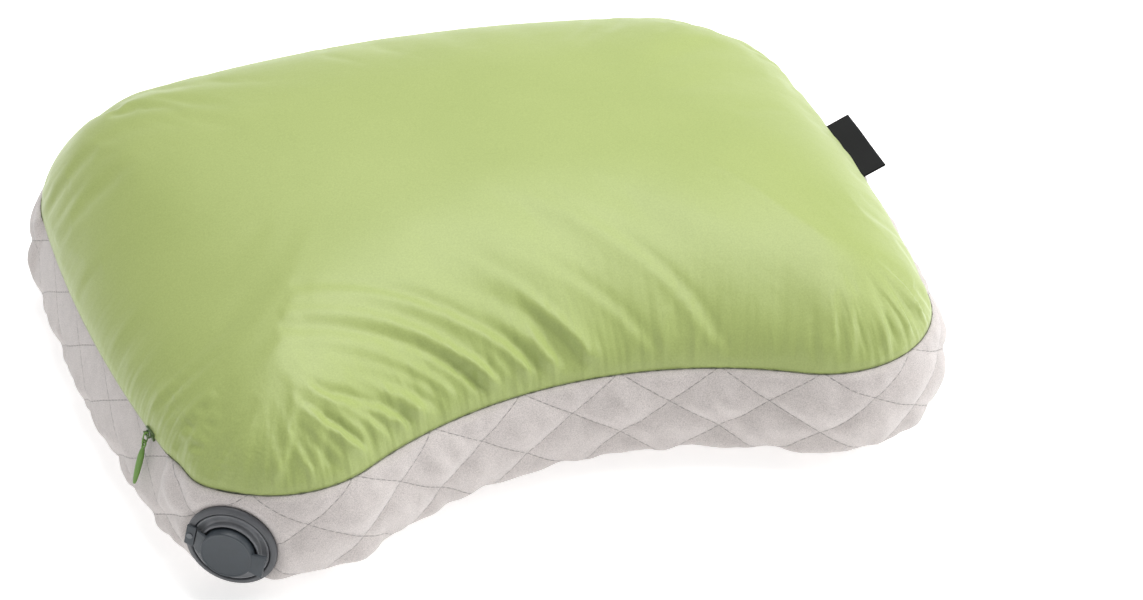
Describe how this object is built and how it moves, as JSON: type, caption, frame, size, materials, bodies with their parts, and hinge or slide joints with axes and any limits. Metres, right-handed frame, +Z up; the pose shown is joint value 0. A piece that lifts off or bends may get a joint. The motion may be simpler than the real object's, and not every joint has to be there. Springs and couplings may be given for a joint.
{
  "type": "inflatable camp pillow",
  "caption": "Curved camp pillow with a padded nylon top, quilted side band, inflatable core, capped valve on the front corner and side zip.",
  "frame": {"origin": "on the flat underside, at the middle of the plan outline", "axes": "+X along the width, -Y towards the neck recess, +Z up from the underside"},
  "size_m": [0.4189, 0.3527, 0.1069],
  "materials": {
    "shell_nylon": "satin",
    "quilted_microfibre": "matte",
    "fibre_fill": "matte",
    "lining_cloth": "satin",
    "binding_tape": "matte",
    "core_film": "satin",
    "valve_grey": "satin",
    "cap_slate": "satin",
    "silicone": "satin",
    "zip_tape": "matte",
    "zip_coil": "satin",
    "slider_enamel": "satin",
    "pull_green": "satin",
    "woven_label": "matte"
  },
  "bodies": {
    "pillow": {"top_panel": "shell_nylon", "top_fill": "fibre_fill", "fill_lining": "lining_cloth", "side_band": "quilted_microfibre", "side_wadding": "fibre_fill", "side_lining": "lining_cloth", "base_panel": "quilted_microfibre", "base_wadding": "fibre_fill", "base_lining": "lining_cloth", "base_seam_binding": "binding_tape", "top_seam_binding": "binding_tape", "core_lower_sheet": "core_film", "core_upper_sheet": "core_film", "valve_hole_hem": "binding_tape", "valve_flange": "valve_grey", "valve_insert": "valve_grey", "valve_seat": "valve_grey", "flap_stud": "silicone", "strap_ear": "cap_slate", "strap_pin": "cap_slate", "zip_coil_upper": "zip_coil", "zip_coil_lower": "zip_coil", "zip_tape_upper": "zip_tape", "zip_tape_lower": "zip_tape", "zip_stops": "slider_enamel", "side_tag": "woven_label"},
    "valve_cap": {"valve_cap": "cap_slate", "cap_seal": "silicone"},
    "valve_flap": {"valve_flap": "silicone"},
    "zip_slider": {"zip_slider": "slider_enamel"},
    "zip_pull": {"pull_link": "slider_enamel", "zip_pull": "pull_green"}
  },
  "joints": [
    {"name": "cap_hinge", "type": "hinge", "parent": "pillow", "child": "valve_cap", "pos_m": [-0.18227, -0.15496, 0.0296], "axis": [-0.1887, 0.1225, -0.9744], "range_deg": [0, 95]},
    {"name": "flap_lift", "type": "slide", "parent": "pillow", "child": "valve_flap", "axis": [0.5446, 0.8387, 0], "range_m": [0, 0.0012], "stiffness_N_per_m": 20},
    {"name": "slider_travel", "type": "hinge", "parent": "pillow", "child": "zip_slider", "pos_m": [0.7001, 0.0414, 0.052], "axis": [0, 0, -1], "range_deg": [0, 10.6]},
    {"name": "pull_swing", "type": "hinge", "parent": "zip_slider", "child": "zip_pull", "pos_m": [-0.19044, -0.10443, 0.052], "axis": [-0.1616, 0.9869, 0], "range_deg": [0, 150]}
  ]
}
